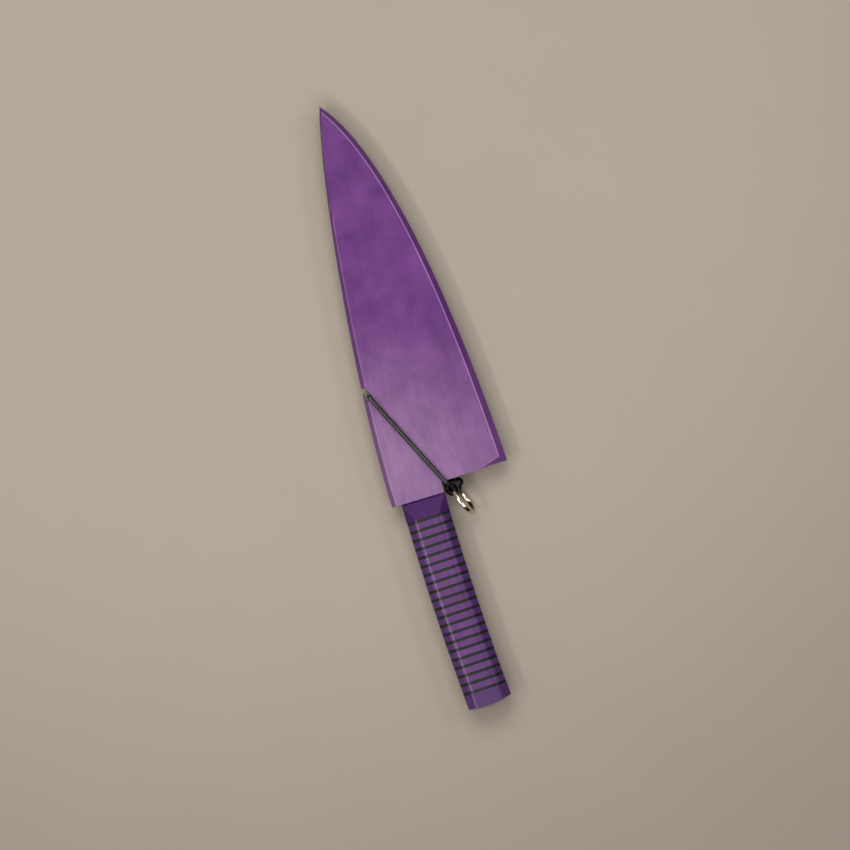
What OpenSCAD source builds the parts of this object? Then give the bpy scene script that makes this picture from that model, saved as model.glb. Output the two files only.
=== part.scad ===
// Wooden blade guard on its kitchen knife, held shut by an elastic loop with a pull ring.
// The shapes are drawn with X towards the cutting edge, Y towards the tip and Z up,
// from the point where the handle meets the guard's mouth, in the blade's middle plane.
// The module placed() then moves them so that the origin is under the middle of the whole.

/* [Guard] */
// Height of the guard's tip above its mouth
guard_len = 227.2; // [225:0.1:230]
// Thickness of each face board
board_t = 5; // [4.5:0.1:5.2]
// Thickness of the core that goes round the blade
core_t = 3; // [3:0.1:3.4]
// Depth of the chamfer round each face
chamfer_depth = 3; // [2:0.1:3.5]
// How much further the mouth reaches beside the handle than under the heel
mouth_step = 5.9; // [5.5:0.1:6.2]
// Fine gap left between the mouth and the front of the handle
mouth_gap = 0.15; // [0.1:0.05:0.4]
// Radius of the hooked notch that the elastic lies in
notch_r = 1.65; // [1.6:0.05:1.8]

/* [Knife] */
// Thickness of the blade along its spine
spine_t = 2.2; // [1.8:0.1:2.2]
// Thickness left at the cutting edge
edge_t = 0.4; // [0.2:0.1:0.6]
// Length of the handle
handle_len = 121.6; // [120:0.1:122.5]
// Width of the handle
handle_w = 25.2; // [24.6:0.1:25.4]
// Thickness of the handle
handle_t = 20; // [19.6:0.1:21]
// How far the handle's middle line bows towards the spine
handle_bow = 1.15; // [0.8:0.05:1.4]
// Number of black spacers in the handle
spacer_count = 21; // [21:1:21]
// Thickness of a black spacer
spacer_t = 1.7; // [1.4:0.1:1.9]
// Distance from one spacer to the next
spacer_pitch = 5; // [4.9:0.05:5]
// Radius of the domed butt
butt_r = 41; // [38:1:46]
// How far the top of the dome lies off the handle's middle line, towards the spine
butt_offset = 2; // [0:0.1:3]

/* [Elastic and ring] */
// Diameter of the round elastic
elastic_d = 2.6; // [2.4:0.1:2.6]
// Outer diameter of the pull ring
ring_od = 20; // [19.6:0.1:20]
// Width of the pull ring's rim, across its hole
ring_rim = 2; // [1.8:0.1:2.1]
// Thickness of the pull ring along its own axis
ring_t = 2.2; // [2:0.1:2.4]
// Lean of the pull ring away from upright
ring_lean = 12; // [10:1:13]

/* [Hidden] */
$fn = 48;
clear = 0.3;
far = 400;
curve_steps = 28;

// The guard's outline and the crest where its chamfer starts, as curves of four points each
tip = [13.9, guard_len];
heel = [51.8, mouth_step];
mouth_corner = [-17.8, 0.8];
mouth_inner = [12.4, 0];
step_corner = [12.9, mouth_step];
edge_curve = [tip, [42.3, 193.5], [51, 89.5], heel];
spine_curve = [tip, [0, 185.5], [-17.5, 64], mouth_corner];
crest_tip = [14, 223.4];
crest_heel = [48, 9.5];
crest_run_out = [25.8, 6.1];
crest_edge_curve = [crest_tip, [40.2, 184], [46.8, 95], crest_heel];
crest_spine_curve = [crest_tip, [2.2, 189], [-14.9, 61], [-15.3, 0.7]];

// The blade, and the pocket that it slides out of
neck_y = -0.4;
blade_tip = [15.8, 212];
blade_heel = [44.4, 10];
neck_back = -11.3;
neck_under = 10;
choil_r = 6;
blade_rear_y = 9.5;
spine_ease = 0.3;
blade_spine_curve = [blade_tip, [4.5, 178], [-11, 62], [neck_back, neck_y]];
blade_edge_curve = [blade_tip, [36, 183], [44, 92], blade_heel];
spine_strip_w = 1.5;
pocket_spine_curve = [blade_tip + [0, 2.5], [4, 178], [-11.9, 62], [-12.2, -1]];
pocket_edge_curve = [blade_tip + [0, 2.5], [37, 183], [44.9, 92], [45.3, 10]];

// The tang that the handle's rings are threaded on
tang_w = 8;
tang_x = -1;
tang_t = spine_t;
tang_clear = 0.15;
tang_overlap = 1.5;
stud_r = 2;
stud_gap = 0.05;
washer_r = 5;
washer_t = 1;
nut_flats = 8;
nut_t = 3;

// The handle's section: eight sides, with the wider slope on the edge side
spine_slope = [4.4, 4.5];
edge_slope = [5.6, 5];
handle_y = neck_y;
butt_y = handle_y - handle_len;
first_spacer_y = -10.35;
last_spacer_end = first_spacer_y - (spacer_count - 1) * spacer_pitch - spacer_t;
hip_end_y = -8.9;
hip_rise = 4.7;
bow_r = handle_len * handle_len / 8 / handle_bow;
bow_mid_y = handle_y - handle_len / 2;
bow_shift = 0.25;
cap_pocket_depth = washer_t + nut_t + 0.6;

// The elastic's loop: out of the notch, over the face and round the mouth to the knot
elastic_r = elastic_d / 2;
bend_r = 1.9;
half_guard = board_t + core_t / 2;
leg_z = half_guard + elastic_r + clear;
notch_at = [-10.8, 63.9];
collar_r = 1.9;
collar_h = 3.2;
loop_angle = 23.8;
loop_dir = [sin(loop_angle), -cos(loop_angle)];
loop_len = (notch_at[1] - mouth_step + collar_r + clear) / cos(loop_angle);
leg_end = notch_at + loop_len * loop_dir;

// The knot's eye and the ring that hangs in it
ring_heading = 21.3;
ring_dir = [sin(ring_heading), -cos(ring_heading)];
ring_mean_r = (ring_od - ring_rim) / 2;
ring_edge = 0.4;
eye_at = [18.3, 0.8];
eye_wrap_r = 3.4;
eye_wrap_rise = 1.1;
tuck_r = 2.2;
tuck_at = [22.2, 2.6];

// Where the middle of the whole lies, seen from above, and the height of the blade's plane
middle = [(heel[0] + mouth_corner[0]) / 2, (guard_len + butt_y) / 2];
plane_z = handle_t / 2;
ring_lift = 0.05;

function padded(i) = i < 10 ? str("0", i) : str(i);
spacer_names = [for (i = [1:spacer_count]) str("spacer_", padded(i))];
grip_names = [for (i = [1:spacer_count - 1]) str("grip_ring_", padded(i))];

// A point on a curve of four control points
function on_curve(c, t) =
    pow(1 - t, 3) * c[0] + 3 * pow(1 - t, 2) * t * c[1]
    + 3 * (1 - t) * t * t * c[2] + pow(t, 3) * c[3];
function forwards(c) = [for (i = [0:curve_steps]) on_curve(c, i / curve_steps)];
function backwards(c) = [for (i = [curve_steps:-1:1]) on_curve(c, i / curve_steps)];

// The handle's middle line is one shallow arc
function bow_x(y) = -handle_bow + bow_shift + pow(y - bow_mid_y, 2) / 2 / bow_r;
// The height of the line along which the mouth meets the handle, and its continuation
function mouth_y(x) = mouth_corner[1] + (x - mouth_corner[0])
    * (mouth_inner[1] - mouth_corner[1]) / (mouth_inner[0] - mouth_corner[0]);
function spacer_y(i) = first_spacer_y - (i - 1) * spacer_pitch;

module placed() translate([-middle[0], -middle[1], plane_z]) children();

// A plate of even thickness, from one height to another
module plate(low, high) translate([0, 0, low]) linear_extrude(high - low) children();

// A straight slot with round ends, seen from above
module slot(a, b, r) {
    run = norm(b - a);
    translate(a) circle(r);
    translate(b) circle(r);
    translate(a) rotate(atan2(b[1] - a[1], b[0] - a[0])) translate([0, -r]) square([run, 2 * r]);
}

// The hull closes the stretch under the heel, which the mouth's cut then squares off
module base_outline() polygon(concat(forwards(edge_curve), [mouth_inner],
    backwards(spine_curve)));

module crest_outline() polygon(concat(forwards(crest_edge_curve), [crest_run_out, mouth_inner],
    backwards(crest_spine_curve)));

// The notch runs in from the spine and hooks back towards the mouth
module notch_cut() {
    slot([-17, 68.4], [-11.9, 67.6], notch_r);
    slot([-11.9, 67.6], notch_at, notch_r);
}

// The mouth stops short of the handle's reach under the heel
module mouth_cut() polygon([mouth_inner, step_corner, [far, mouth_step], [far, -far],
    [mouth_inner[0], -far]]);

// One face board, with its chamfer sloping down to the outer edge
module face_board() color("mediumpurple") difference() {
    hull() {
        plate(core_t / 2, half_guard - chamfer_depth) base_outline();
        plate(core_t / 2, half_guard) crest_outline();
    }
    plate(0, half_guard + 1) notch_cut();
    plate(0, half_guard + 1) mouth_cut();
}

module face_board_top() placed() face_board();
module face_board_bottom() placed() mirror([0, 0, 1]) face_board();

module pocket_outline() polygon(concat(forwards(pocket_edge_curve),
    [[45.3, -1], [-12.2, -1]], backwards(pocket_spine_curve)));

module core_rim() placed() color("indigo") plate(-core_t / 2, core_t / 2) difference() {
    base_outline();
    pocket_outline();
    notch_cut();
    mouth_cut();
}

// The whole side of the mouth's line on which the handle lies, or the side beyond it
module mouth_side(end) polygon([[-far, mouth_y(-far) - mouth_gap],
    [far, mouth_y(far) - mouth_gap], [far, end], [-far, end]]);

// The blade's rear edge turns up in an arc at the choil to meet the neck
module choil_cut() polygon(concat([[neck_under, -far]],
    [for (a = [180:-15:90]) [neck_under + choil_r + choil_r * cos(a),
        blade_rear_y - choil_r + choil_r * sin(a)]],
    [[far, blade_rear_y], [far, -far]]));

// The blade is ground flat from just inside its spine to its edge
module blade() placed() color("silver") union() {
    difference() {
        hull() {
            plate(-edge_t / 2, edge_t / 2) polygon(concat(forwards(blade_edge_curve),
                [[blade_heel[0], neck_y]], backwards(blade_spine_curve)));
            translate([spine_ease, 0, 0]) plate(-spine_t / 2, spine_t / 2)
                polygon(concat([[neck_back + spine_strip_w, neck_y]],
                backwards(blade_spine_curve)));
        }
        plate(-spine_t, spine_t) choil_cut();
        plate(-spine_t, spine_t) mouth_side(-far);
    }
    tang();
}

module tang() {
    translate([tang_x - tang_w / 2, last_spacer_end, -tang_t / 2])
        cube([tang_w, neck_y - last_spacer_end + tang_overlap, tang_t]);
    translate([tang_x, last_spacer_end, 0]) rotate([90, 0, 0])
        cylinder(r = stud_r, h = cap_pocket_depth - 0.3);
}

// The handle's eight-sided section, seen from the butt
module handle_section() {
    w = handle_w / 2;
    t = handle_t / 2;
    polygon([[-w, -t + spine_slope[1]], [-w, t - spine_slope[1]], [-w + spine_slope[0], t],
        [w - edge_slope[0], t], [w, t - edge_slope[1]], [w, -t + edge_slope[1]],
        [w - edge_slope[0], -t], [-w + spine_slope[0], -t]]);
}

// One slice of the handle between two stations, turned to follow the bow
module handle_slice(y0, y1) {
    turn = atan2(bow_x(y1) - bow_x(y0), y0 - y1);
    intersection() {
        translate([bow_x(y0), y0, 0]) rotate([0, 0, turn]) translate([0, 1, 0])
            rotate([90, 0, 0]) linear_extrude(y0 - y1 + 2) handle_section();
        translate([-handle_w, y1, -handle_t]) cube([2 * handle_w, y0 - y1, 2 * handle_t]);
    }
}

module tang_hole(y0, y1) translate([tang_x - tang_w / 2 - tang_clear, y1 - 1,
    -tang_t / 2 - tang_clear]) cube([tang_w + 2 * tang_clear, y0 - y1 + 2,
    tang_t + 2 * tang_clear]);

module ring_slice(y0, y1) placed() difference() {
    handle_slice(y0, y1);
    tang_hole(y0, y1);
}

module spacer(i) color("black") ring_slice(spacer_y(i), spacer_y(i) - spacer_t);
module grip_ring(i) color("rebeccapurple") ring_slice(spacer_y(i) - spacer_t, spacer_y(i + 1));

// The collar slopes down to the guard on both faces, and its front follows the mouth
module hip_cut() {
    lean = atan2(hip_rise, handle_y - hip_end_y);
    translate([-handle_w, hip_end_y, handle_t / 2]) rotate([-lean, 0, 0])
        cube([2 * handle_w, handle_len, handle_t]);
}

module front_collar() placed() color("rebeccapurple") difference() {
    handle_slice(mouth_corner[1], first_spacer_y);
    tang_hole(mouth_corner[1], first_spacer_y);
    plate(-handle_t, handle_t) mouth_side(far);
    hip_cut();
    mirror([0, 0, 1]) hip_cut();
}

module end_cap() placed() color("rebeccapurple") difference() {
    intersection() {
        handle_slice(last_spacer_end, butt_y);
        translate([bow_x(butt_y) - butt_offset, butt_y + butt_r, 0]) sphere(r = butt_r, $fn = 96);
    }
    translate([tang_x, last_spacer_end + 1, 0]) rotate([90, 0, 0])
        cylinder(r = washer_r + clear, h = cap_pocket_depth + 1);
}

module tang_washer() placed() color("silver") translate([tang_x, last_spacer_end, 0])
    rotate([90, 0, 0]) difference() {
        cylinder(r = washer_r, h = washer_t);
        translate([0, 0, -1]) cylinder(r = stud_r + stud_gap, h = washer_t + 2);
    }

module tang_nut() placed() color("silver") translate([tang_x, last_spacer_end - washer_t, 0])
    rotate([90, 0, 0]) difference() {
        cylinder(r = nut_flats / sqrt(3), h = nut_t, $fn = 6);
        translate([0, 0, -1]) cylinder(r = stud_r + stud_gap, h = nut_t + 2, $fn = 48);
    }

// Half of the elastic: the upright in the notch, the leg over the face, the upright at the mouth
module elastic_half() {
    leg = loop_len - 2 * bend_r;
    cylinder(r = elastic_r, h = leg_z - bend_r);
    translate([bend_r, 0, leg_z - bend_r]) bend(180);
    translate([bend_r, 0, leg_z]) rotate([0, 90, 0]) cylinder(r = elastic_r, h = leg);
    translate([loop_len - bend_r, 0, leg_z - bend_r]) bend(90);
    translate([loop_len, 0, collar_h]) cylinder(r = elastic_r, h = leg_z - bend_r - collar_h);
}

// A quarter turn of the elastic in the loop's upright plane, from an angle down by 90 degrees
module bend(from) rotate([90, 0, 0]) rotate([0, 0, from - 90]) rotate_extrude(angle = 90)
    translate([bend_r, 0]) circle(elastic_r);

module elastic_loop() placed() color("dimgray") translate([notch_at[0], notch_at[1], 0])
    rotate([0, 0, loop_angle - 90]) union() {
        elastic_half();
        mirror([0, 0, 1]) elastic_half();
    }

// The frame of the ring's eye: its Z runs along the rim where the elastic holds it
module at_eye() translate([eye_at[0], eye_at[1], ring_lift])
    rotate([0, -ring_lean, ring_heading]) children();

// Two wraps of the elastic round the rim, a bore between them that the ring turns in, the
// lump on the elastic's upright, and the tucked end
module elastic_knot() placed() color("dimgray") union() {
    at_eye() {
        for (s = [-1, 1]) translate([0, 0, s * eye_wrap_rise])
            rotate_extrude() translate([eye_wrap_r, 0]) circle(elastic_r);
        difference() {
            cylinder(r = eye_wrap_r, h = 2 * eye_wrap_rise, center = true);
            cylinder(r = eye_wrap_r - elastic_r, h = 4 * eye_wrap_rise, center = true);
        }
    }
    translate([leg_end[0], leg_end[1], -collar_h]) cylinder(r = collar_r, h = 2 * collar_h);
    translate([tuck_at[0], tuck_at[1], 0]) sphere(r = tuck_r);
}

module rim_section() {
    a = ring_od / 2 - ring_rim;
    b = ring_od / 2;
    h = ring_t / 2;
    polygon([[a, -h + ring_edge], [a + ring_edge, -h], [b - ring_edge, -h], [b, -h + ring_edge],
        [b, h - ring_edge], [b - ring_edge, h], [a + ring_edge, h], [a, h - ring_edge]]);
}

module pull_ring() placed() color("goldenrod") translate([eye_at[0] + ring_mean_r * ring_dir[0],
    eye_at[1] + ring_mean_r * ring_dir[1], ring_lift]) rotate([0, 90 - ring_lean, ring_heading])
    rotate_extrude($fn = 96) rim_section();

face_board_top();
face_board_bottom();
core_rim();
blade();
front_collar();
for (i = [1:spacer_count]) spacer(i);
for (i = [1:spacer_count - 1])
    grip_ring(i);
end_cap();
tang_washer();
tang_nut();
elastic_loop();
elastic_knot();
pull_ring();
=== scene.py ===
"""Looks for the wooden blade guard on its kitchen knife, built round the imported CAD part."""

import math

import bmesh
import bpy
from mathutils import Matrix, Vector


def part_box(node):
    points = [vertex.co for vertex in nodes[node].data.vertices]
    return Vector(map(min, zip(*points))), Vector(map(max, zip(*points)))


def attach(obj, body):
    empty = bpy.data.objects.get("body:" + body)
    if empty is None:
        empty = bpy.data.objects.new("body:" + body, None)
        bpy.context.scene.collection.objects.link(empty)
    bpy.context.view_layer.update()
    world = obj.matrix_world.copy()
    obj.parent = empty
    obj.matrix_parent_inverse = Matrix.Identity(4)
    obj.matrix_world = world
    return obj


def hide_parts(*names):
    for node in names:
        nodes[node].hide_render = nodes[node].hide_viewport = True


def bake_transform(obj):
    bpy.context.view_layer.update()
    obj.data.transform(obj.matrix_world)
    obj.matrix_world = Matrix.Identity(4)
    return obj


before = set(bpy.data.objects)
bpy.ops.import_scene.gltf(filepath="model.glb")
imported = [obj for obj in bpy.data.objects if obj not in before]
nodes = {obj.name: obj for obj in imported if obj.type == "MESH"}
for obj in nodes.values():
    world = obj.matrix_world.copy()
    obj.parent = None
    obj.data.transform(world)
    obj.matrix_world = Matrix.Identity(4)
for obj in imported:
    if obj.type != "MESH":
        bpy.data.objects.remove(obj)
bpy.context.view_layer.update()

# Places. They are given in millimetres from where the handle meets the guard's mouth, in the
# blade's middle plane: X towards the cutting edge, Y towards the tip, Z up.
MM = 0.001
MOUTH_CORNER_X = -17.8
GUARD_LEN = 227.2
board_low, board_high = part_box("face_board_top")
collar_low, collar_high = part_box("front_collar")
zero = Vector((board_low.x - MOUTH_CORNER_X * MM, board_high.y - GUARD_LEN * MM,
               (collar_low.z + collar_high.z) / 2))


def at(x, y, z=0.0):
    """A place in the row frame, in metres, from the part's own millimetres."""
    return zero + Vector((x, y, z)) * MM


# The camera stands square over the part, turned so that the knife leans as in the photograph.
PHOTO_SIDE = 476 * MM
PHOTO_MIDDLE = at(14.2, 39.0, 6.5)
PHOTO_TURN = math.radians(-18.27)
CAMERA_RISE = 2.5
SENSOR = 36.0

lens = bpy.data.cameras.new("overhead")
lens.sensor_width = SENSOR
lens.lens = SENSOR * CAMERA_RISE / PHOTO_SIDE
camera = bpy.data.objects.new("overhead", lens)
camera.location = PHOTO_MIDDLE + Vector((0, 0, CAMERA_RISE))
camera.rotation_euler = (0, 0, PHOTO_TURN)
bpy.context.scene.collection.objects.link(camera)
bpy.context.scene.camera = camera
bpy.context.scene.view_settings.view_transform = "Standard"

# Directions of the photograph, as they lie on the floor, and the middle of the floor's painted
# light
PHOTO_RIGHT = Vector((math.cos(PHOTO_TURN), math.sin(PHOTO_TURN), 0))
PHOTO_UP = Vector((-math.sin(PHOTO_TURN), math.cos(PHOTO_TURN), 0))
FLOOR_PAINTED_LIGHT_SPOT = PHOTO_MIDDLE - 0.1 * PHOTO_RIGHT + 0.22 * PHOTO_UP
FLOOR_PAINTED_LIGHT_SPOT.z = 0


# Materials

# The face attribute that paints light into the wood: above nothing, a painted highlight on the
# rounded crests, where the dye is also sanded thin; below nothing, painted shade on sloping faces
PAINTED_LIGHT_AND_WEAR_MARK = "painted light and wear mark"
# The handle's wood and spacers are polished as one, so their coats are equally soft
COAT_ROUGH = 0.35


def paint(code):
    """A colour written as sRGB hex, turned to the linear values that the shader takes."""
    channels = [int(code[i:i + 2], 16) / 255 for i in (1, 3, 5)]
    return [c / 12.92 if c <= 0.04045 else ((c + 0.055) / 1.055) ** 2.4 for c in channels] + [1]


def add(tree, kind, inputs=None, **settings):
    """Adds a node with its settings, each input fed by a plain value or by another's output."""
    made = tree.nodes.new(kind)
    for name, value in settings.items():
        setattr(made, name, value)
    for name, value in (inputs or {}).items():
        if isinstance(value, bpy.types.NodeSocket):
            tree.links.new(value, made.inputs[name])
        else:
            made.inputs[name].default_value = value
    return made


def finish_named(name):
    """A new material with an empty tree, its surface shader and its output."""
    material = bpy.data.materials.new(name)
    material.use_nodes = True
    tree = material.node_tree
    tree.nodes.clear()
    surface = add(tree, "ShaderNodeBsdfPrincipled")
    add(tree, "ShaderNodeOutputMaterial", {"Surface": surface.outputs[0]})
    return material, tree, surface


def grain_sizes(across, along):
    """Mapping scale for a pattern so many millimetres wide across X and Z and long along Y."""
    return (1 / (across * MM), 1 / (along * MM), 1 / (across * MM))


def dyed_wood(name, deep, pale, dark_streak_and_shade, highlight_and_wear, rough, cloud_mm, streak_share,
              ring_tones=0.0, sheen_tone=None, coat=0.0):
    """Close-grained hardwood dyed through and oiled: cloudy where the dye took more or less,
    with fine lengthwise fibres and short dark pores under a low satin sheen. The faces' mark
    paints light in: a painted highlight along marked rounded corners, where the dye is also
    sanded thin, and painted shade on sloping faces; a sheen tone, when given, paints a paler
    sheen near one spot."""
    material, tree, surface = finish_named(name)
    place = add(tree, "ShaderNodeTexCoord").outputs["Object"]
    clouds_place = add(tree, "ShaderNodeMapping", {
        "Vector": place, "Scale": grain_sizes(cloud_mm, cloud_mm * 1.2)})
    clouds = add(tree, "ShaderNodeTexNoise", {
        "Vector": clouds_place.outputs[0], "Scale": 1.0, "Detail": 5.0, "Roughness": 0.55,
        "Distortion": 0.3})
    # Fibres 0.4 mm wide and 12 mm long, twice as coarse as real ones so that they show
    fibre_place = add(tree, "ShaderNodeMapping", {
        "Vector": place, "Scale": grain_sizes(0.4, 12)})
    fibres = add(tree, "ShaderNodeTexNoise", {
        "Vector": fibre_place.outputs[0], "Scale": 1.0, "Detail": 4.0, "Roughness": 0.6,
        "Distortion": 0.25})
    # Flecks of figure some 3 mm wide and 20 mm long
    band_place = add(tree, "ShaderNodeMapping", {
        "Vector": place, "Scale": grain_sizes(3, 20)})
    bands = add(tree, "ShaderNodeTexNoise", {
        "Vector": band_place.outputs[0], "Scale": 1.0, "Detail": 2.0, "Roughness": 0.5,
        "Distortion": 0.9})
    # Open pores 0.25 mm wide and 3 mm long
    pore_place = add(tree, "ShaderNodeMapping", {
        "Vector": place, "Scale": grain_sizes(0.25, 3)})
    pores = add(tree, "ShaderNodeTexNoise", {
        "Vector": pore_place.outputs[0], "Scale": 1.0, "Detail": 1.0, "Roughness": 0.5})
    pore_mask = add(tree, "ShaderNodeMapRange", {
        "Value": pores.outputs[0], "From Min": 0.66, "From Max": 0.76, "To Min": 0.0,
        "To Max": 0.55})
    cloud_share = add(tree, "ShaderNodeMapRange", {
        "Value": clouds.outputs[0], "From Min": 0.27, "From Max": 0.73, "To Min": 0.0,
        "To Max": 1.0})
    tone = cloud_share.outputs[0]
    if ring_tones:
        # Each ring of the handle is cut from its own blank, so its tone steps from ring to ring
        along = add(tree, "ShaderNodeSeparateXYZ", {0: place}).outputs["Y"]
        station = add(tree, "ShaderNodeMath", {
            0: add(tree, "ShaderNodeMath", {0: along, 1: -at(0, FIRST_RING_Y).y},
                   operation="ADD").outputs[0],
            1: SPACER_PITCH * MM}, operation="DIVIDE").outputs[0]
        count = add(tree, "ShaderNodeMath", {0: station}, operation="FLOOR").outputs[0]
        draw = add(tree, "ShaderNodeTexWhiteNoise", {"W": count}, noise_dimensions="1D")
        tone = add(tree, "ShaderNodeMix", {
            "Factor": ring_tones, "A": tone, "B": draw.outputs["Value"]}).outputs[0]
    body = add(tree, "ShaderNodeMix", {
        "Factor": tone, 6: paint(deep), 7: paint(pale)}, data_type="RGBA")
    shade = body.outputs[2]
    if sheen_tone:
        # A painted sheen: near one spot the colour is mixed towards a paler, greyer tone, patchy
        # with the clouds
        away = add(tree, "ShaderNodeVectorMath", {0: place, 1: at(*SHEEN_SPOT)},
                   operation="DISTANCE")
        near = add(tree, "ShaderNodeMapRange", {
            "Value": away.outputs["Value"], "From Min": 0.02, "From Max": SHEEN_REACH * MM,
            "To Min": 0.85, "To Max": 0.0}, interpolation_type="SMOOTHSTEP")
        patchy = add(tree, "ShaderNodeMapRange", {
            "Value": clouds.outputs[0], "From Min": 0.3, "From Max": 0.7, "To Min": 0.75,
            "To Max": 1.1})
        share = add(tree, "ShaderNodeMath", {0: near.outputs[0], 1: patchy.outputs[0]},
                    operation="MULTIPLY", use_clamp=True)
        shade = add(tree, "ShaderNodeMix", {
            "Factor": share.outputs[0], 6: shade, 7: paint(sheen_tone)},
            data_type="RGBA").outputs[2]
    band_share = add(tree, "ShaderNodeMapRange", {
        "Value": bands.outputs[0], "From Min": 0.42, "From Max": 0.68, "To Min": 0.0,
        "To Max": streak_share})
    banded = add(tree, "ShaderNodeMix", {
        "Factor": band_share.outputs[0], 6: shade, 7: paint(dark_streak_and_shade)},
        data_type="RGBA")
    fibre_share = add(tree, "ShaderNodeMapRange", {
        "Value": fibres.outputs[0], "From Min": 0.45, "From Max": 0.75, "To Min": 0.0,
        "To Max": streak_share * 0.7})
    fibred = add(tree, "ShaderNodeMix", {
        "Factor": fibre_share.outputs[0], 6: banded.outputs[2], 7: paint(dark_streak_and_shade)},
        data_type="RGBA")
    pored = add(tree, "ShaderNodeMix", {
        "Factor": pore_mask.outputs[0], 6: fibred.outputs[2], 7: paint(dark_streak_and_shade)},
        data_type="RGBA")
    # The faces' mark, read here, carries painted shade below nothing and a painted highlight above
    painted_mark = add(tree, "ShaderNodeAttribute", attribute_name=PAINTED_LIGHT_AND_WEAR_MARK)
    # Painted shade: sloping faces are mixed towards the dark streak tone
    slope_shade_share = add(tree, "ShaderNodeMapRange", {
        "Value": painted_mark.outputs["Fac"], "From Min": -1.0, "From Max": 0.0, "To Min": 1.0,
        "To Max": 0.0})
    slope_shaded = add(tree, "ShaderNodeMix", {
        "Factor": slope_shade_share.outputs[0], 6: pored.outputs[2], 7: paint(dark_streak_and_shade)},
        data_type="RGBA")
    # Painted highlight: the marked crests are mixed towards the pale tone, which also stands for
    # dye sanded thin
    highlight_share = add(tree, "ShaderNodeMath", {
        0: painted_mark.outputs["Fac"], 1: add(tree, "ShaderNodeMapRange", {
            "Value": clouds.outputs[0], "From Min": 0.3, "From Max": 0.7, "To Min": 0.7,
            "To Max": 1.0}).outputs[0]}, operation="MULTIPLY", use_clamp=True)
    highlighted = add(tree, "ShaderNodeMix", {
        "Factor": highlight_share.outputs[0], 6: slope_shaded.outputs[2], 7: paint(highlight_and_wear)},
        data_type="RGBA")
    tree.links.new(highlighted.outputs[2], surface.inputs["Base Color"])
    gloss = add(tree, "ShaderNodeMapRange", {
        "Value": fibres.outputs[0], "From Min": 0.3, "From Max": 0.7, "To Min": rough - 0.03,
        "To Max": rough + 0.03})
    tree.links.new(gloss.outputs[0], surface.inputs["Roughness"])
    relief = add(tree, "ShaderNodeMath", {
        0: fibres.outputs[0], 1: pore_mask.outputs[0]}, operation="SUBTRACT")
    bump = add(tree, "ShaderNodeBump", {
        "Height": relief.outputs[0], "Strength": 0.2, "Distance": 0.03 * MM})
    tree.links.new(bump.outputs[0], surface.inputs["Normal"])
    surface.inputs["IOR"].default_value = 1.5
    if coat:
        # Under a coat the wood itself shines less
        surface.inputs["Specular IOR Level"].default_value = 0.2
        surface.inputs["Coat Weight"].default_value = coat
        surface.inputs["Coat Roughness"].default_value = COAT_ROUGH
    return material


def pressed_fibre():
    """Black vulcanised fibre, sanded flush with the wood: flat black with a faint felted nap,
    under the coat that the whole handle has."""
    material, tree, surface = finish_named("black vulcanised fibre, sanded")
    place = add(tree, "ShaderNodeTexCoord").outputs["Object"]
    nap = add(tree, "ShaderNodeTexNoise", {
        "Vector": place, "Scale": 1 / (0.3 * MM), "Detail": 3.0, "Roughness": 0.6})
    body = add(tree, "ShaderNodeMix", {
        "Factor": nap.outputs[0], 6: paint("#08070A"), 7: paint("#151318")}, data_type="RGBA")
    tree.links.new(body.outputs[2], surface.inputs["Base Color"])
    gloss = add(tree, "ShaderNodeMapRange", {
        "Value": nap.outputs[0], "From Min": 0.3, "From Max": 0.7, "To Min": 0.42,
        "To Max": 0.52})
    tree.links.new(gloss.outputs[0], surface.inputs["Roughness"])
    bump = add(tree, "ShaderNodeBump", {
        "Height": nap.outputs[0], "Strength": 0.3, "Distance": 0.02 * MM})
    tree.links.new(bump.outputs[0], surface.inputs["Normal"])
    surface.inputs["Specular IOR Level"].default_value = 0.06
    surface.inputs["Coat Weight"].default_value = 0.9
    surface.inputs["Coat Roughness"].default_value = COAT_ROUGH
    return material


def ground_steel(name, tint_low, tint_high, rough, along_x, along_y, bedded_and_shaded_to=None):
    """Steel left from the belt or the lathe: fine parallel lines that stretch each highlight.
    Below the given station it carries black epoxy that beds it in the handle, which also stands
    as painted shade in the slot at the guard's mouth."""
    material, tree, surface = finish_named(name)
    place = add(tree, "ShaderNodeTexCoord").outputs["Object"]
    line_place = add(tree, "ShaderNodeMapping", {
        "Vector": place, "Scale": (1 / (along_x * MM), 1 / (along_y * MM), 1 / (0.2 * MM))})
    lines = add(tree, "ShaderNodeTexNoise", {
        "Vector": line_place.outputs[0], "Scale": 1.0, "Detail": 3.0, "Roughness": 0.65})
    haze = add(tree, "ShaderNodeTexNoise", {
        "Vector": place, "Scale": 1 / (18 * MM), "Detail": 2.0})
    body = add(tree, "ShaderNodeMix", {
        "Factor": haze.outputs[0], 6: paint(tint_low), 7: paint(tint_high)}, data_type="RGBA")
    if bedded_and_shaded_to is None:
        tree.links.new(body.outputs[2], surface.inputs["Base Color"])
        surface.inputs["Metallic"].default_value = 1.0
    else:
        # Below the station the steel is black epoxy, which also stands as painted shade in the
        # mouth's slot
        along = add(tree, "ShaderNodeSeparateXYZ", {0: place}).outputs["Y"]
        bare = add(tree, "ShaderNodeMath", {0: along, 1: at(0, bedded_and_shaded_to).y},
                   operation="GREATER_THAN")
        skin = add(tree, "ShaderNodeMix", {
            "Factor": bare.outputs[0], 6: paint("#08080A"), 7: body.outputs[2]},
            data_type="RGBA")
        tree.links.new(skin.outputs[2], surface.inputs["Base Color"])
        tree.links.new(bare.outputs[0], surface.inputs["Metallic"])
    gloss = add(tree, "ShaderNodeMapRange", {
        "Value": lines.outputs[0], "From Min": 0.3, "From Max": 0.7, "To Min": rough - 0.06,
        "To Max": rough + 0.06})
    tree.links.new(gloss.outputs[0], surface.inputs["Roughness"])
    bump = add(tree, "ShaderNodeBump", {
        "Height": lines.outputs[0], "Strength": 0.25, "Distance": 0.01 * MM})
    tree.links.new(bump.outputs[0], surface.inputs["Normal"])
    return material


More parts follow.
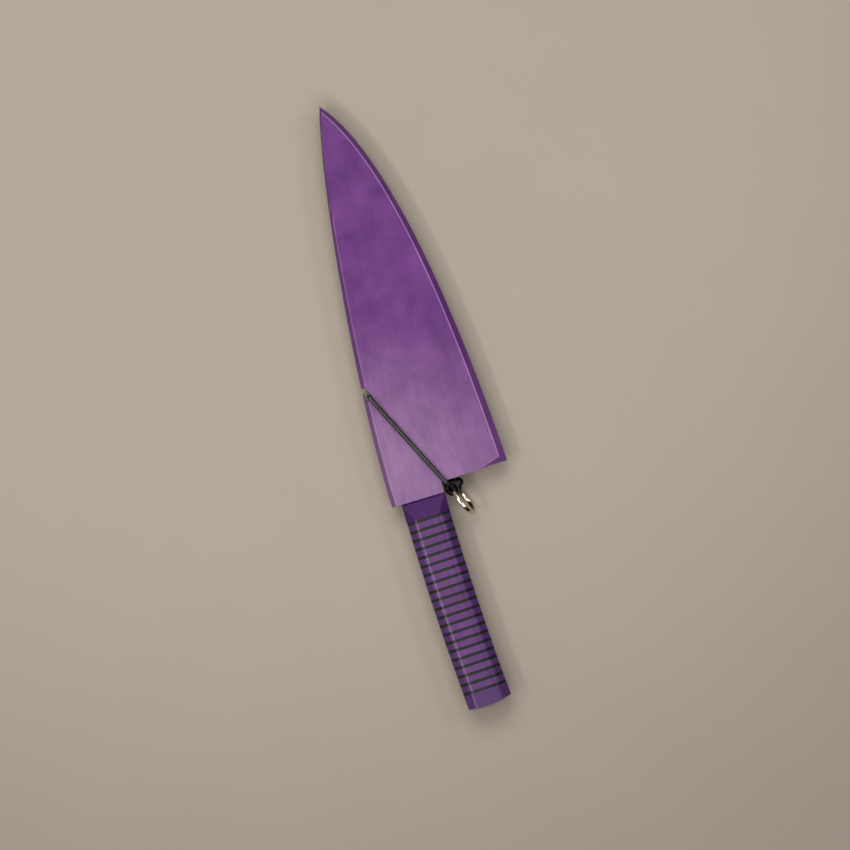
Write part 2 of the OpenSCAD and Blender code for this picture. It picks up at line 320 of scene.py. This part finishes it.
def solid_rubber(name, shine):
    """Solid black rubber: a soft highlight along its skin and a dusty bloom."""
    material, tree, surface = finish_named(name)
    place = add(tree, "ShaderNodeTexCoord").outputs["Object"]
    bloom = add(tree, "ShaderNodeTexNoise", {
        "Vector": place, "Scale": 1 / (2.5 * MM), "Detail": 4.0, "Roughness": 0.65})
    body = add(tree, "ShaderNodeMix", {
        "Factor": bloom.outputs[0], 6: paint("#050507"), 7: paint("#0E0D11")}, data_type="RGBA")
    tree.links.new(body.outputs[2], surface.inputs["Base Color"])
    gloss = add(tree, "ShaderNodeMapRange", {
        "Value": bloom.outputs[0], "From Min": 0.3, "From Max": 0.7, "To Min": 0.16,
        "To Max": 0.23})
    tree.links.new(gloss.outputs[0], surface.inputs["Roughness"])
    skin = add(tree, "ShaderNodeTexNoise", {
        "Vector": place, "Scale": 1 / (0.35 * MM), "Detail": 2.0})
    bump = add(tree, "ShaderNodeBump", {
        "Height": skin.outputs[0], "Strength": 0.1, "Distance": 0.015 * MM})
    tree.links.new(bump.outputs[0], surface.inputs["Normal"])
    surface.inputs["IOR"].default_value = 1.52
    surface.inputs["Specular IOR Level"].default_value = shine
    return material


def plated_nickel():
    """Steel ring, barrel-polished and plated with nickel: bright, warm grey, with fine rubs."""
    material, tree, surface = finish_named("nickel plate, barrel-polished")
    place = add(tree, "ShaderNodeTexCoord").outputs["Object"]
    rubs = add(tree, "ShaderNodeTexNoise", {
        "Vector": place, "Scale": 1 / (1.2 * MM), "Detail": 5.0, "Roughness": 0.7})
    body = add(tree, "ShaderNodeMix", {
        "Factor": rubs.outputs[0], 6: paint("#C4B58F"), 7: paint("#DDD6C6")}, data_type="RGBA")
    tree.links.new(body.outputs[2], surface.inputs["Base Color"])
    surface.inputs["Metallic"].default_value = 1.0
    gloss = add(tree, "ShaderNodeMapRange", {
        "Value": rubs.outputs[0], "From Min": 0.35, "From Max": 0.7, "To Min": 0.1,
        "To Max": 0.2})
    tree.links.new(gloss.outputs[0], surface.inputs["Roughness"])
    bump = add(tree, "ShaderNodeBump", {
        "Height": rubs.outputs[0], "Strength": 0.15, "Distance": 0.02 * MM})
    tree.links.new(bump.outputs[0], surface.inputs["Normal"])
    return material


def painted_floor():
    """Plain pale board with a matt coat, faintly uneven as rolled paint is, with a pool of light
    painted in: its tone is painted darker away from one spot beyond the guard."""
    material, tree, surface = finish_named("matt painted board with a painted pool of light")
    place = add(tree, "ShaderNodeTexCoord").outputs["Object"]
    roller = add(tree, "ShaderNodeTexNoise", {
        "Vector": place, "Scale": 1 / (60 * MM), "Detail": 5.0, "Roughness": 0.6})
    body = add(tree, "ShaderNodeMix", {
        "Factor": roller.outputs[0], 6: paint("#ABA196"), 7: paint("#AFA59A")},
        data_type="RGBA")
    away = add(tree, "ShaderNodeVectorMath", {0: place, 1: FLOOR_PAINTED_LIGHT_SPOT},
               operation="DISTANCE")
    # A painted pool of light: the floor's colour darkens towards a shade tone away from the spot
    light_falloff = add(tree, "ShaderNodeMapRange", {
        "Value": away.outputs["Value"], "From Min": 0.25, "From Max": 0.6, "To Min": 0.0,
        "To Max": 0.38}, interpolation_type="SMOOTHSTEP")
    falloff_shaded = add(tree, "ShaderNodeMix", {
        "Factor": light_falloff.outputs[0], 6: body.outputs[2], 7: paint("#5F5553")},
        data_type="RGBA")
    tree.links.new(falloff_shaded.outputs[2], surface.inputs["Base Color"])
    surface.inputs["Roughness"].default_value = 0.9
    return material


SPACER_PITCH = 5.0
FIRST_RING_Y = -10.35
# The black epoxy round the blade's neck, which also stands as painted shade in the slot at the
# guard's mouth, ends here
BEDDING_AND_SHADE_END_Y = 1.2
# The middle of the painted sheen near the mouth, and how far the painted sheen reaches
SHEEN_SPOT = (-15, 6, 6.5)
SHEEN_REACH = 110
# The handle's front block and its butt cap are dyed alike, and the cap is coated more
END_DYE = {"deep": "#3B1257", "pale": "#4E216B", "dark_streak_and_shade": "#2C1642", "highlight_and_wear": "#A58CB0",
           "rough": 0.45, "cloud_mm": 20, "streak_share": 0.3}

# The guard's wood paints a paler sheen near the mouth
guard_wood = dyed_wood("dyed maple, oiled", deep="#562470", pale="#793E8D",
                       dark_streak_and_shade="#4A1E60", highlight_and_wear="#BA92CA", rough=0.3, cloud_mm=15,
                       streak_share=0.18, sheen_tone="#9975A2")
core_wood = dyed_wood("dyed maple core, sanded", deep="#4A2163", pale="#5E3076",
                      dark_streak_and_shade="#33124A", highlight_and_wear="#8A5F9C", rough=0.5, cloud_mm=20,
                      streak_share=0.4)
handle_wood = dyed_wood("dyed stabilised maple, polished", deep="#4C2065", pale="#6B3780",
                        dark_streak_and_shade="#2A1555", highlight_and_wear="#A58CB0", rough=0.38, cloud_mm=14,
                        streak_share=0.3, ring_tones=0.45, coat=1.0)
end_wood = dyed_wood("dyed stabilised maple, front block, polished", coat=0.15, **END_DYE)
cap_wood = dyed_wood("dyed stabilised maple, butt cap, polished", coat=1.0, **END_DYE)
fibre = pressed_fibre()
blade_steel = ground_steel("stainless steel, belt-ground", tint_low="#A9ABAE",
                           tint_high="#C3C5C7", rough=0.3, along_x=45, along_y=0.18,
                           bedded_and_shaded_to=BEDDING_AND_SHADE_END_Y)
tang_steel = ground_steel("mild steel, turned", tint_low="#8F9093", tint_high="#A6A7A9",
                          rough=0.4, along_x=3, along_y=0.2)
rubber = solid_rubber("black rubber cord, extruded", shine=0.85)
knotted_rubber = solid_rubber("black rubber cord, stretched dull in the knot", shine=0.25)
nickel = plated_nickel()


# Making pieces

# Points closer than this are one, and places nearer than this are level
MERGE = 0.002
LEVEL = 0.01


def taken(node):
    """A CAD node's mesh as a bmesh, merged, with each flat face whole."""
    shape = bmesh.new()
    shape.from_mesh(nodes[node].data)
    bmesh.ops.remove_doubles(shape, verts=shape.verts, dist=MERGE * MM)
    bmesh.ops.dissolve_limit(shape, angle_limit=math.radians(0.1), verts=shape.verts,
                             edges=shape.edges)
    return shape


def eased(shape, chosen, width, segments=3, highlight_and_wear=0.0, clamp=True):
    """Rounds the chosen edges over, as sanding does, and marks the rounding for a painted
    highlight,
    where the dye is also sanded thin: in full on the cutting-edge side, and by the spine side's
    share of that on the rest."""
    mark = shape.faces.layers.float.get(PAINTED_LIGHT_AND_WEAR_MARK) or shape.faces.layers.float.new(PAINTED_LIGHT_AND_WEAR_MARK)
    made = bmesh.ops.bevel(shape, geom=chosen, offset=width * MM, offset_type="OFFSET",
                           segments=segments, profile=0.5, affect="EDGES", material=-1,
                           clamp_overlap=clamp)
    for face in made["faces"]:
        # The painted highlight is full on the cutting-edge side and a share of that elsewhere
        full_highlight_side = face.normal.x > max(0, -face.normal.y)
        face[mark] = highlight_and_wear if full_highlight_side else SPINE_HIGHLIGHT_SHARE * highlight_and_wear


def shade_slopes(shape, share):
    """Marks every sloping face for so much painted shade."""
    mark = shape.faces.layers.float.new(PAINTED_LIGHT_AND_WEAR_MARK)
    for face in shape.faces:
        face[mark] = -share if 0.1 < abs(face.normal.z) < 0.95 else 0.0


def proud_edges(shape, least=20):
    """The outside corners of a shape that turn by more than so many degrees."""
    return [e for e in shape.edges if len(e.link_faces) == 2 and e.is_convex
            and e.calc_face_angle(0) > math.radians(least)]


def placed_piece(name, shape, material, body, slot, *stood_for, smooth=35):
    """Turns a bmesh into a finished piece that rides on a body and stands for its CAD nodes."""
    mesh = bpy.data.meshes.new(name)
    shape.to_mesh(mesh)
    shape.free()
    mesh.shade_smooth()
    mesh.set_sharp_from_angle(angle=math.radians(smooth))
    mesh.materials.append(material)
    piece = bpy.data.objects.new(name, mesh)
    bpy.context.scene.collection.objects.link(piece)
    weighted = piece.modifiers.new("flat faces stay flat", "WEIGHTED_NORMAL")
    weighted.keep_sharp = True
    if body:
        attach(piece, body)
    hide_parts(*stood_for)
    return piece


def swept(name, points, radius, closed=False):
    """A round cord along a row of points, as a mesh."""
    path = bpy.data.curves.new(name, "CURVE")
    path.dimensions = "3D"
    path.bevel_depth = radius * MM
    path.bevel_resolution = 5
    path.use_fill_caps = not closed
    spline = path.splines.new("POLY")
    spline.points.add(len(points) - 1)
    for point, place in zip(spline.points, points):
        point.co = (*place, 1)
    spline.use_cyclic_u = closed
    carrier = bpy.data.objects.new(name, path)
    bpy.context.scene.collection.objects.link(carrier)
    bpy.context.view_layer.update()
    mesh = bpy.data.meshes.new_from_object(carrier.evaluated_get(
        bpy.context.evaluated_depsgraph_get()))
    bpy.data.objects.remove(carrier)
    shape = bmesh.new()
    shape.from_mesh(mesh)
    bpy.data.meshes.remove(mesh)
    bmesh.ops.remove_doubles(shape, verts=shape.verts, dist=MERGE * MM)
    bmesh.ops.recalc_face_normals(shape, faces=shape.faces)
    return shape


# The guard

CORE_T = 3.0
HALF_GUARD = 6.5
# Painted shade on the chamfers, the crest's painted highlight, and the share of that highlight on
# the spine side
CHAMFER_SHADE = 0.55
CREST_HIGHLIGHT = 0.55
SPINE_HIGHLIGHT_SHARE = 0.4
CREST_R = 0.4
RIM_R = 0.3
GLUE_LINE = 0.12
# The crest isn't rounded where the mouth and the notch cut it: on the cutting-edge side behind
# the first station, and on the spine side between the other two
HEEL_CUT_Y = 6.4
NOTCH_CUT_Y = (60.6, 70.0)
# The rim's edges keep at least so far from the crest and from the glue line
OFF_THE_CREST = 0.6
OFF_THE_GLUE = 0.3


def level(edge, height):
    """Whether an edge lies all at one height."""
    return all(abs(v.co.z - height) < LEVEL * MM for v in edge.verts)


def clear_of_cuts(edge):
    """Whether an edge keeps clear of the heel's corner and of the notch."""
    middle = (edge.verts[0].co + edge.verts[1].co) / 2
    low, high = (at(0, y).y for y in NOTCH_CUT_Y)
    by_heel = middle.x > at(0, 0).x and middle.y < at(0, HEEL_CUT_Y).y
    by_notch = middle.x < at(0, 0).x and low < middle.y < high
    return not by_heel and not by_notch


def guard_board(node, name, side):
    """One face board: its chamfers darkened with painted shade, its crest sanded over and given a
    painted highlight, where the dye is also sanded thin, its rim eased, and a fine glue line left
    along the core."""
    shape = taken(node)
    glue_z = at(0, 0, side * CORE_T / 2).z
    crest_z = at(0, 0, side * HALF_GUARD).z
    # Painted shade on the chamfers
    shade_slopes(shape, CHAMFER_SHADE)
    for y in (HEEL_CUT_Y, *NOTCH_CUT_Y):
        bmesh.ops.bisect_plane(shape, geom=shape.verts[:] + shape.edges[:] + shape.faces[:],
                               plane_co=at(0, y), plane_no=(0, 1, 0))
    crest = [e for e in proud_edges(shape) if level(e, crest_z) and clear_of_cuts(e)
             and e.calc_face_angle(0) < math.radians(60)]
    # A painted highlight along the crest, where the dye is also sanded thin
    eased(shape, crest, CREST_R, highlight_and_wear=CREST_HIGHLIGHT, clamp=False)
    eased(shape, [e for e in proud_edges(shape) if level(e, glue_z)], GLUE_LINE, 1)
    rim = [e for e in proud_edges(shape) if clear_of_cuts(e)
           and all(abs(v.co.z - crest_z) > OFF_THE_CREST * MM
                   and abs(v.co.z - glue_z) > OFF_THE_GLUE * MM for v in e.verts)]
    eased(shape, rim, RIM_R)
    return placed_piece(name, shape, guard_wood, "guard", "guard_wood", node)


guard_board("face_board_top", "guard_board_upper", 1)
guard_board("face_board_bottom", "guard_board_lower", -1)
placed_piece("guard_core", taken("core_rim"), core_wood, "guard", "core_wood", "core_rim")


# The knife

BLADE_HONE = 0.9
# The blade's neck, up to here, isn't honed
HONE_FROM_Y = 12


def sharpened_blade():
    """The blade with its flats kept and a narrow honed bevel down to the cutting edge."""
    shape = taken("blade")
    flats = [f for f in shape.faces if abs(f.normal.z) > 0.9
             and f.calc_center_median().y > at(0, HONE_FROM_Y).y]
    bmesh.ops.inset_region(shape, faces=flats, thickness=BLADE_HONE * MM, use_even_offset=True)
    return placed_piece("knife_blade", shape, blade_steel, "knife", "blade_steel", "blade")


sharpened_blade()

TANG_X = -1.0
# How much painted shade the handle's sloping faces take
SLOPE_SHADE = 0.6
# How far from the tang's middle the outside corners start, on the sides and on the ends
SIDES_START = 8.0
ENDS_START = 6.5
# The long ridges, rounded most where the hand closes, each with its count of segments
EDGE_SIDE_RIDGE = (2.6, 8)
SPINE_SIDE_RIDGE = (2.0, 7)
HANDLE_CORNER_R = 0.6
COLLAR_CORNER_R = 0.45


def lengthwise(edges):
    """Those edges that run along the handle, on its outside."""
    kept = []
    for e in edges:
        run = e.verts[1].co - e.verts[0].co
        middle = (e.verts[0].co + e.verts[1].co) / 2 - at(TANG_X, 0)
        if abs(run.y) > 0.9 * run.length and math.hypot(middle.x, middle.z) > SIDES_START * MM:
            kept.append(e)
    return kept


def soften_ridges(shape):
    """Rounds the handle's long ridges, top and bottom, where the palm and the fingers close."""
    for on_edge_side, (width, segments) in ((True, EDGE_SIDE_RIDGE), (False, SPINE_SIDE_RIDGE)):
        ridges = [e for e in lengthwise(proud_edges(shape))
                  if (level(e, collar_high.z) or level(e, collar_low.z))
                  and (e.verts[0].co.x > at(0, 0).x) == on_edge_side]
        eased(shape, ridges, width, segments)


def handle_slices(stem, name, count, material, slot):
    """Every slice of one kind in the handle, its long corners sanded round."""
    for i in range(1, count + 1):
        node = f"{stem}_{i:02d}"
        shape = taken(node)
        # Painted shade on the slice's sloping faces
        shade_slopes(shape, SLOPE_SHADE)
        soften_ridges(shape)
        eased(shape, lengthwise(proud_edges(shape, 30)), HANDLE_CORNER_R)
        placed_piece(f"{name}_{i:02d}", shape, material, "knife", slot, node)


handle_slices("spacer", "handle_spacer", 21, fibre, "spacer_black")
handle_slices("grip_ring", "handle_ring", 20, handle_wood, "handle_wood")


def off_the_end(edges, end_y):
    """Those edges that don't lie in the flush face at one station, nor round the tang's hole."""
    return [e for e in edges if not all(abs(v.co.y - end_y) < LEVEL * MM for v in e.verts)
            and math.hypot(*((e.verts[0].co + e.verts[1].co) / 2 - at(TANG_X, 0)).xz)
            > ENDS_START * MM]


def handle_collar():
    """The front collar, its corners eased but for the crisp hips where it slopes to the guard."""
    shape = taken("front_collar")
    hips = [e for e in shape.edges if (level(e, collar_high.z) or level(e, collar_low.z))
            and abs(e.verts[0].co.x - e.verts[1].co.x) > e.calc_length() / 2]
    corners = off_the_end(proud_edges(shape), collar_low.y)
    eased(shape, [e for e in corners if e not in hips], COLLAR_CORNER_R)
    placed_piece("handle_collar", shape, end_wood, "knife", "handle_wood", "front_collar",
                 smooth=20)


def handle_cap():
    """The end cap, its domed butt rounded into the sides."""
    shape = taken("end_cap")
    soften_ridges(shape)
    eased(shape, off_the_end(proud_edges(shape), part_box("end_cap")[1].y), HANDLE_CORNER_R)
    placed_piece("handle_cap", shape, cap_wood, "knife", "handle_wood", "end_cap")


handle_collar()
handle_cap()
for hidden in ("tang_washer", "tang_nut"):
    nodes[hidden].data.materials.clear()
    nodes[hidden].data.materials.append(tang_steel)


# The elastic and the ring

ELASTIC_R = 1.3
BEND_R = 1.9
LEG_Z = 8.1
NOTCH = Vector((-10.8, 63.9, 0))
LOOP_ANGLE = math.radians(23.8)
LOOP_RUN = Vector((math.sin(LOOP_ANGLE), -math.cos(LOOP_ANGLE), 0))
MOUTH_STEP = 5.9
COLLAR_R = 1.9
COLLAR_H = 3.2
CLEAR = 0.3
LOOP_LEN = (NOTCH.y - MOUTH_STEP + COLLAR_R + CLEAR) / math.cos(LOOP_ANGLE)
LEG_END = NOTCH + LOOP_LEN * LOOP_RUN
BEND_STEPS = 12
# The loop's points stand so far apart along its straight legs
LOOP_STRIDE = 2.5


def loop_points():
    """The elastic's closed run: up the notch, over the face, down the mouth and back under."""
    corners = [(BEND_R, 1, 180), (LOOP_LEN - BEND_R, 1, 90),
               (LOOP_LEN - BEND_R, -1, 0), (BEND_R, -1, -90)]
    points = []
    for along, side, start in corners:
        for step in range(BEND_STEPS + 1):
            angle = math.radians(start - 90 * step / BEND_STEPS)
            points.append((along + BEND_R * math.cos(angle),
                           side * (LEG_Z - BEND_R) + BEND_R * math.sin(angle)))
    run = []
    for here, there in zip(points, points[1:] + points[:1]):
        gap = math.dist(here, there)
        pieces = max(1, round(gap / LOOP_STRIDE))
        for k in range(pieces):
            share = k / pieces
            along, height = (a + (b - a) * share for a, b in zip(here, there))
            run.append(at(*(NOTCH + LOOP_RUN * along).xy, height))
    return run


band = placed_piece("elastic_band", swept("elastic_band", loop_points(), ELASTIC_R, closed=True),
                    rubber, None, "elastic_rubber", "elastic_loop", smooth=60)
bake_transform(band)

RING_OD = 20.0
RING_RIM = 2.0
RING_T = 2.2
RING_ROUND = 0.6
RING_STEPS = 128
RING_LIFT = 0.05
RING_HEADING = math.radians(21.3)
RING_LEAN = math.radians(12)
EYE = Vector((18.3, 0.8, RING_LIFT))
EYE_WRAP_R = 3.4
EYE_WRAP_RISE = 1.1
EYE_TURNS = 2.2
# The first turn leaves the collar at this share of the way to the leg, this high, this far round
EYE_FROM = 0.75
EYE_FROM_RISE = 2.4
EYE_START = 200
TURN_STEPS = 60
INNER_TURN_R = 3.2
INNER_TURN_THICK = 1.75
INNER_TURN_STEPS = 32
# The collar's cord, pulled thinner than the loop's, and the turns that it makes
COLLAR_CORD_R = 1.15
COLLAR_TURN_R = 0.72
COLLAR_TURNS = 3
TUCK_R = 2.7
TUCK = Vector((22.2, 2.6, 0))
# Where the cord ends inside the tuck
TUCKED_BY = Vector((0.4, -0.4, -0.6))

# The eye's own directions: along the rim that it holds, towards the ring's middle, and across
eye_turn = Matrix.Rotation(RING_HEADING, 3, "Z") @ Matrix.Rotation(-RING_LEAN, 3, "Y")
along_rim = eye_turn @ Vector((0, 0, 1))
across_rim = eye_turn @ Vector((1, 0, 0))
to_middle = eye_turn @ Vector((0, -1, 0))


def knot_points():
    """Two turns round the rim, opening out of the collar and ending in the tuck."""
    points = [EYE + (LEG_END - EYE) * EYE_FROM + Vector((0, 0, EYE_FROM_RISE))]
    for k in range(TURN_STEPS + 1):
        share = k / TURN_STEPS
        angle = math.radians(EYE_START + 360 * EYE_TURNS * share)
        rise = EYE_WRAP_RISE * (1 - 2 * share)
        points.append(EYE + EYE_WRAP_R * (math.cos(angle) * to_middle
                                          + math.sin(angle) * across_rim) + rise * along_rim)
    points.append(TUCK + TUCKED_BY)
    return [at(*p) for p in points]


def collar_points():
    """Three close turns of the elastic round its own upright."""
    points = []
    for k in range(TURN_STEPS + 1):
        angle = math.radians(360 * COLLAR_TURNS * k / TURN_STEPS)
        height = (COLLAR_H - COLLAR_CORD_R) * (1 - 2 * k / TURN_STEPS)
        points.append(at(*(LEG_END + Vector((COLLAR_TURN_R * math.cos(angle),
                                             COLLAR_TURN_R * math.sin(angle), height)))))
    return points


def inner_turn():
    """The elastic's first turn, squeezed fat between the outer turns and the rim."""
    return [at(*(EYE + INNER_TURN_R * (math.cos(angle) * to_middle
                                       + math.sin(angle) * across_rim)))
            for angle in (math.tau * k / INNER_TURN_STEPS for k in range(INNER_TURN_STEPS))]


def knot():
    """The knot: its turns round the rim, the collar on the upright and the tucked end."""
    shape = swept("knot", knot_points(), ELASTIC_R)
    for part in (swept("collar", collar_points(), COLLAR_CORD_R),
                 swept("inner turn", inner_turn(), INNER_TURN_THICK, closed=True)):
        spare = bpy.data.meshes.new("spare")
        part.to_mesh(spare)
        part.free()
        shape.from_mesh(spare)
        bpy.data.meshes.remove(spare)
    lump = bmesh.ops.create_uvsphere(shape, u_segments=32, v_segments=20,
                                      radius=TUCK_R * MM)
    bmesh.ops.translate(shape, verts=lump["verts"], vec=at(*TUCK))
    return placed_piece("elastic_knot_turns", shape, knotted_rubber, "pull", "elastic_rubber",
                        "elastic_knot", smooth=60)


knot()


def ring():
    """The pull ring, its rim turned with rounded corners."""
    shape = bmesh.new()
    made = bmesh.ops.create_grid(shape, x_segments=1, y_segments=1, size=0.5)
    bmesh.ops.scale(shape, verts=made["verts"], vec=(RING_RIM * MM, RING_T * MM, 1))
    bmesh.ops.rotate(shape, verts=made["verts"], cent=(0, 0, 0),
                     matrix=Matrix.Rotation(math.radians(90), 3, "X"))
    bmesh.ops.translate(shape, verts=made["verts"],
                        vec=((RING_OD - RING_RIM) / 2 * MM, 0, 0))
    bmesh.ops.bevel(shape, geom=list(shape.verts), offset=RING_ROUND * MM, offset_type="OFFSET",
                    segments=5, profile=0.5, affect="VERTICES", material=-1)
    section = list(shape.faces)
    bmesh.ops.spin(shape, geom=section + list(shape.edges) + list(shape.verts), cent=(0, 0, 0),
                   axis=(0, 0, 1), angle=math.tau, steps=RING_STEPS, use_merge=True)
    bmesh.ops.delete(shape, geom=[f for f in shape.faces if f in section], context="FACES_ONLY")
    bmesh.ops.remove_doubles(shape, verts=shape.verts, dist=MERGE * MM)
    bmesh.ops.recalc_face_normals(shape, faces=shape.faces)
    turn = (Matrix.Rotation(RING_HEADING, 4, "Z")
            @ Matrix.Rotation(math.radians(90) - RING_LEAN, 4, "Y"))
    middle = EYE + (RING_OD - RING_RIM) / 2 * to_middle
    bmesh.ops.transform(shape, matrix=Matrix.Translation(at(*middle)) @ turn,
                        verts=shape.verts)
    return placed_piece("pull_ring_polished", shape, nickel, "ring", "ring_metal", "pull_ring",
                        smooth=60)


ring()


# The floor and the lights

FLOOR_HALF = 6.0


def floor():
    """A wide level floor under the part."""
    shape = bmesh.new()
    bmesh.ops.create_grid(shape, x_segments=1, y_segments=1, size=FLOOR_HALF)
    mesh = bpy.data.meshes.new("floor")
    shape.to_mesh(mesh)
    shape.free()
    mesh.materials.append(painted_floor())
    board = bpy.data.objects.new("floor", mesh)
    bpy.context.scene.collection.objects.link(board)


def softbox(name, right, up, rise, width, depth, power, colour):
    """A soft light at a place given along the photograph's own directions, in metres."""
    lamp = bpy.data.lights.new(name, "AREA")
    lamp.shape = "RECTANGLE"
    lamp.size, lamp.size_y = width, depth
    lamp.energy = power
    lamp.color = paint(colour)[:3]
    holder = bpy.data.objects.new(name, lamp)
    target = PHOTO_MIDDLE
    holder.location = target + PHOTO_RIGHT * right + PHOTO_UP * up + Vector((0, 0, rise))
    holder.rotation_euler = (target - holder.location).to_track_quat("-Z", "Y").to_euler()
    holder.visible_camera = False
    bpy.context.scene.collection.objects.link(holder)


floor()
# Two broad lights, off to the ends so that the flat tops don't mirror them into the camera
softbox("light beyond the tip", right=-0.33, up=1.05, rise=1.7, width=1.5, depth=0.9,
        power=18.5, colour="#FFFDFA")
softbox("light beyond the butt", right=0.33, up=-1.05, rise=1.7, width=1.5, depth=0.9,
        power=13.5, colour="#FFFDFA")
# Two strips that draw the line of light along the handle's ridges and the guard's slopes
softbox("edge light from the left", right=-1.0, up=-0.42, rise=1.65, width=1.3, depth=0.3,
        power=10, colour="#FFFCF8")
softbox("edge light from the right", right=1.1, up=0.6, rise=1.3, width=0.7, depth=0.22,
        power=3.5, colour="#FFFFFF")
softbox("sheen over the mouth", right=-0.04, up=-0.04, rise=0.9, width=0.12, depth=0.12,
        power=0.12, colour="#FFFFFF")


def room(tone, dim, bright, toward):
    """The room round the set: a pale wall on one side, falling away to the dark on the other."""
    sky = bpy.data.worlds.new("studio")
    bpy.context.scene.world = sky
    sky.use_nodes = True
    tree = sky.node_tree
    facing = add(tree, "ShaderNodeVectorMath", {
        0: add(tree, "ShaderNodeTexCoord").outputs["Generated"], 1: toward},
        operation="DOT_PRODUCT")
    strength = add(tree, "ShaderNodeMapRange", {
        "Value": facing.outputs["Value"], "From Min": -0.8, "From Max": 0.9, "To Min": dim,
        "To Max": bright}, interpolation_type="SMOOTHSTEP")
    light = tree.nodes["Background"]
    light.inputs["Color"].default_value = paint(tone)
    tree.links.new(strength.outputs[0], light.inputs["Strength"])


room("#F3E9D8", dim=0.03, bright=0.42, toward=0.65 * -PHOTO_RIGHT + 0.75 * PHOTO_UP)
